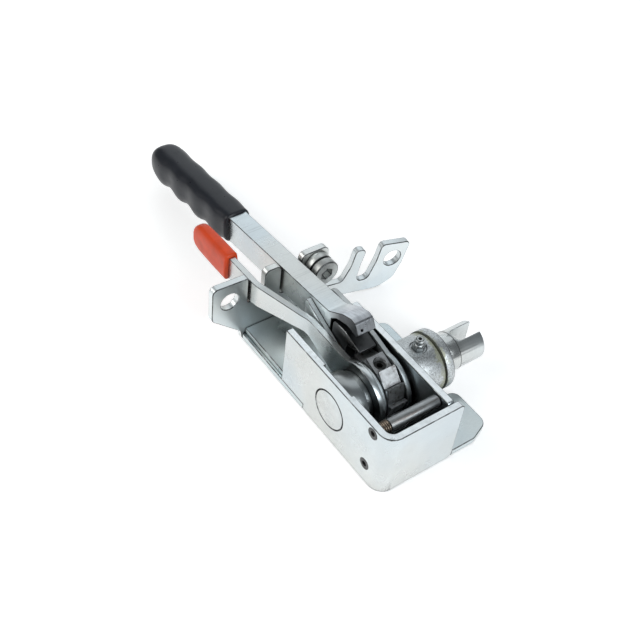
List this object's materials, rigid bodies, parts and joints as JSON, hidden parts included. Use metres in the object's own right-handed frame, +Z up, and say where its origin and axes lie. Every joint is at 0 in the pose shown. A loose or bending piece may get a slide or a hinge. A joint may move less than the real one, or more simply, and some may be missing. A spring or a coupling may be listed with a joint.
{
  "type": "curtain tensioner",
  "caption": "Ratchet tensioner for a truck side curtain: bent housing, slotted output shaft, long grip handle, release lever and rear bracket with comb arm.",
  "frame": {"origin": "on the shaft axis at the outer face of the shaft collar, where the slotted spigot starts", "axes": "+X from the handle to the front plate, +Y along the shaft to its slotted end, +Z up"},
  "size_m": [0.3255, 0.1567, 0.0676],
  "materials": {
    "zinc_sheet": "bright zinc plate",
    "zinc_plate": "zinc plate",
    "zinc_bar": "bright zinc plate",
    "machined_steel": "turned",
    "shaft_steel": "turned and plated",
    "wheel_steel": "machined, greasy",
    "pawl_steel": "forged and plated",
    "nipple_steel": "plated",
    "spring_steel": "oiled wire",
    "black_steel": "black oxide",
    "greased_seal": "greasy",
    "black_grip": "soft moulded",
    "red_grip": "dipped"
  },
  "bodies": {
    "frame": {"housing": "zinc_sheet", "right_cheek": "zinc_sheet", "base_plate": "zinc_plate", "floor_plate": "zinc_plate", "mounting_bracket": "zinc_sheet", "catch_stud": "machined_steel", "left_hub": "machined_steel", "bearing_boss": "machined_steel", "grease_nipple": "nipple_steel", "dust_seal": "greased_seal", "thrust_washers": "machined_steel", "hold_pawl_pin": "black_steel", "hold_pawl_spring": "spring_steel", "stop_pin": "black_steel"},
    "shaft": {"output_shaft": "shaft_steel", "shaft_collar": "shaft_steel", "ratchet_wheel": "wheel_steel", "set_screw": "black_steel"},
    "handle": {"handle_bar": "zinc_bar", "left_fork_plate": "zinc_sheet", "right_fork_plate": "zinc_sheet", "handle_grip": "black_grip", "drive_pawl_pin": "machined_steel", "drive_pawl_spring": "spring_steel"},
    "drive_pawl": {"drive_pawl": "pawl_steel"},
    "release": {"release_lever": "zinc_bar", "release_grip": "red_grip"},
    "hold_pawl": {"hold_pawl": "pawl_steel"}
  },
  "joints": [
    {"name": "shaft_spin", "type": "hinge", "parent": "frame", "child": "shaft", "pos_m": [0, 0, 0], "axis": [0, 1, 0], "continuous": true},
    {"name": "handle_swing", "type": "hinge", "parent": "frame", "child": "handle", "pos_m": [0, -0.0487, 0], "axis": [0, 1, 0], "range_deg": [0, 60]},
    {"name": "drive_pawl_swing", "type": "hinge", "parent": "handle", "child": "drive_pawl", "pos_m": [-0.033, -0.0487, 0.007], "axis": [0, 1, 0], "range_deg": [0, 5.8], "stiffness_Nm_per_rad": 0.5, "springref_deg": -5.73},
    {"name": "release_swing", "type": "hinge", "parent": "frame", "child": "release", "pos_m": [0, -0.0618, 0], "axis": [0, 1, 0], "range_deg": [0, 20]},
    {"name": "hold_pawl_swing", "type": "hinge", "parent": "frame", "child": "hold_pawl", "pos_m": [0.04, -0.0487, 0.0205], "axis": [0, 1, 0], "range_deg": [-4, 0]}
  ],
  "couplings": [
    {"joint": "hold_pawl_swing", "follows": "release_swing", "ratio": -0.2}
  ]
}
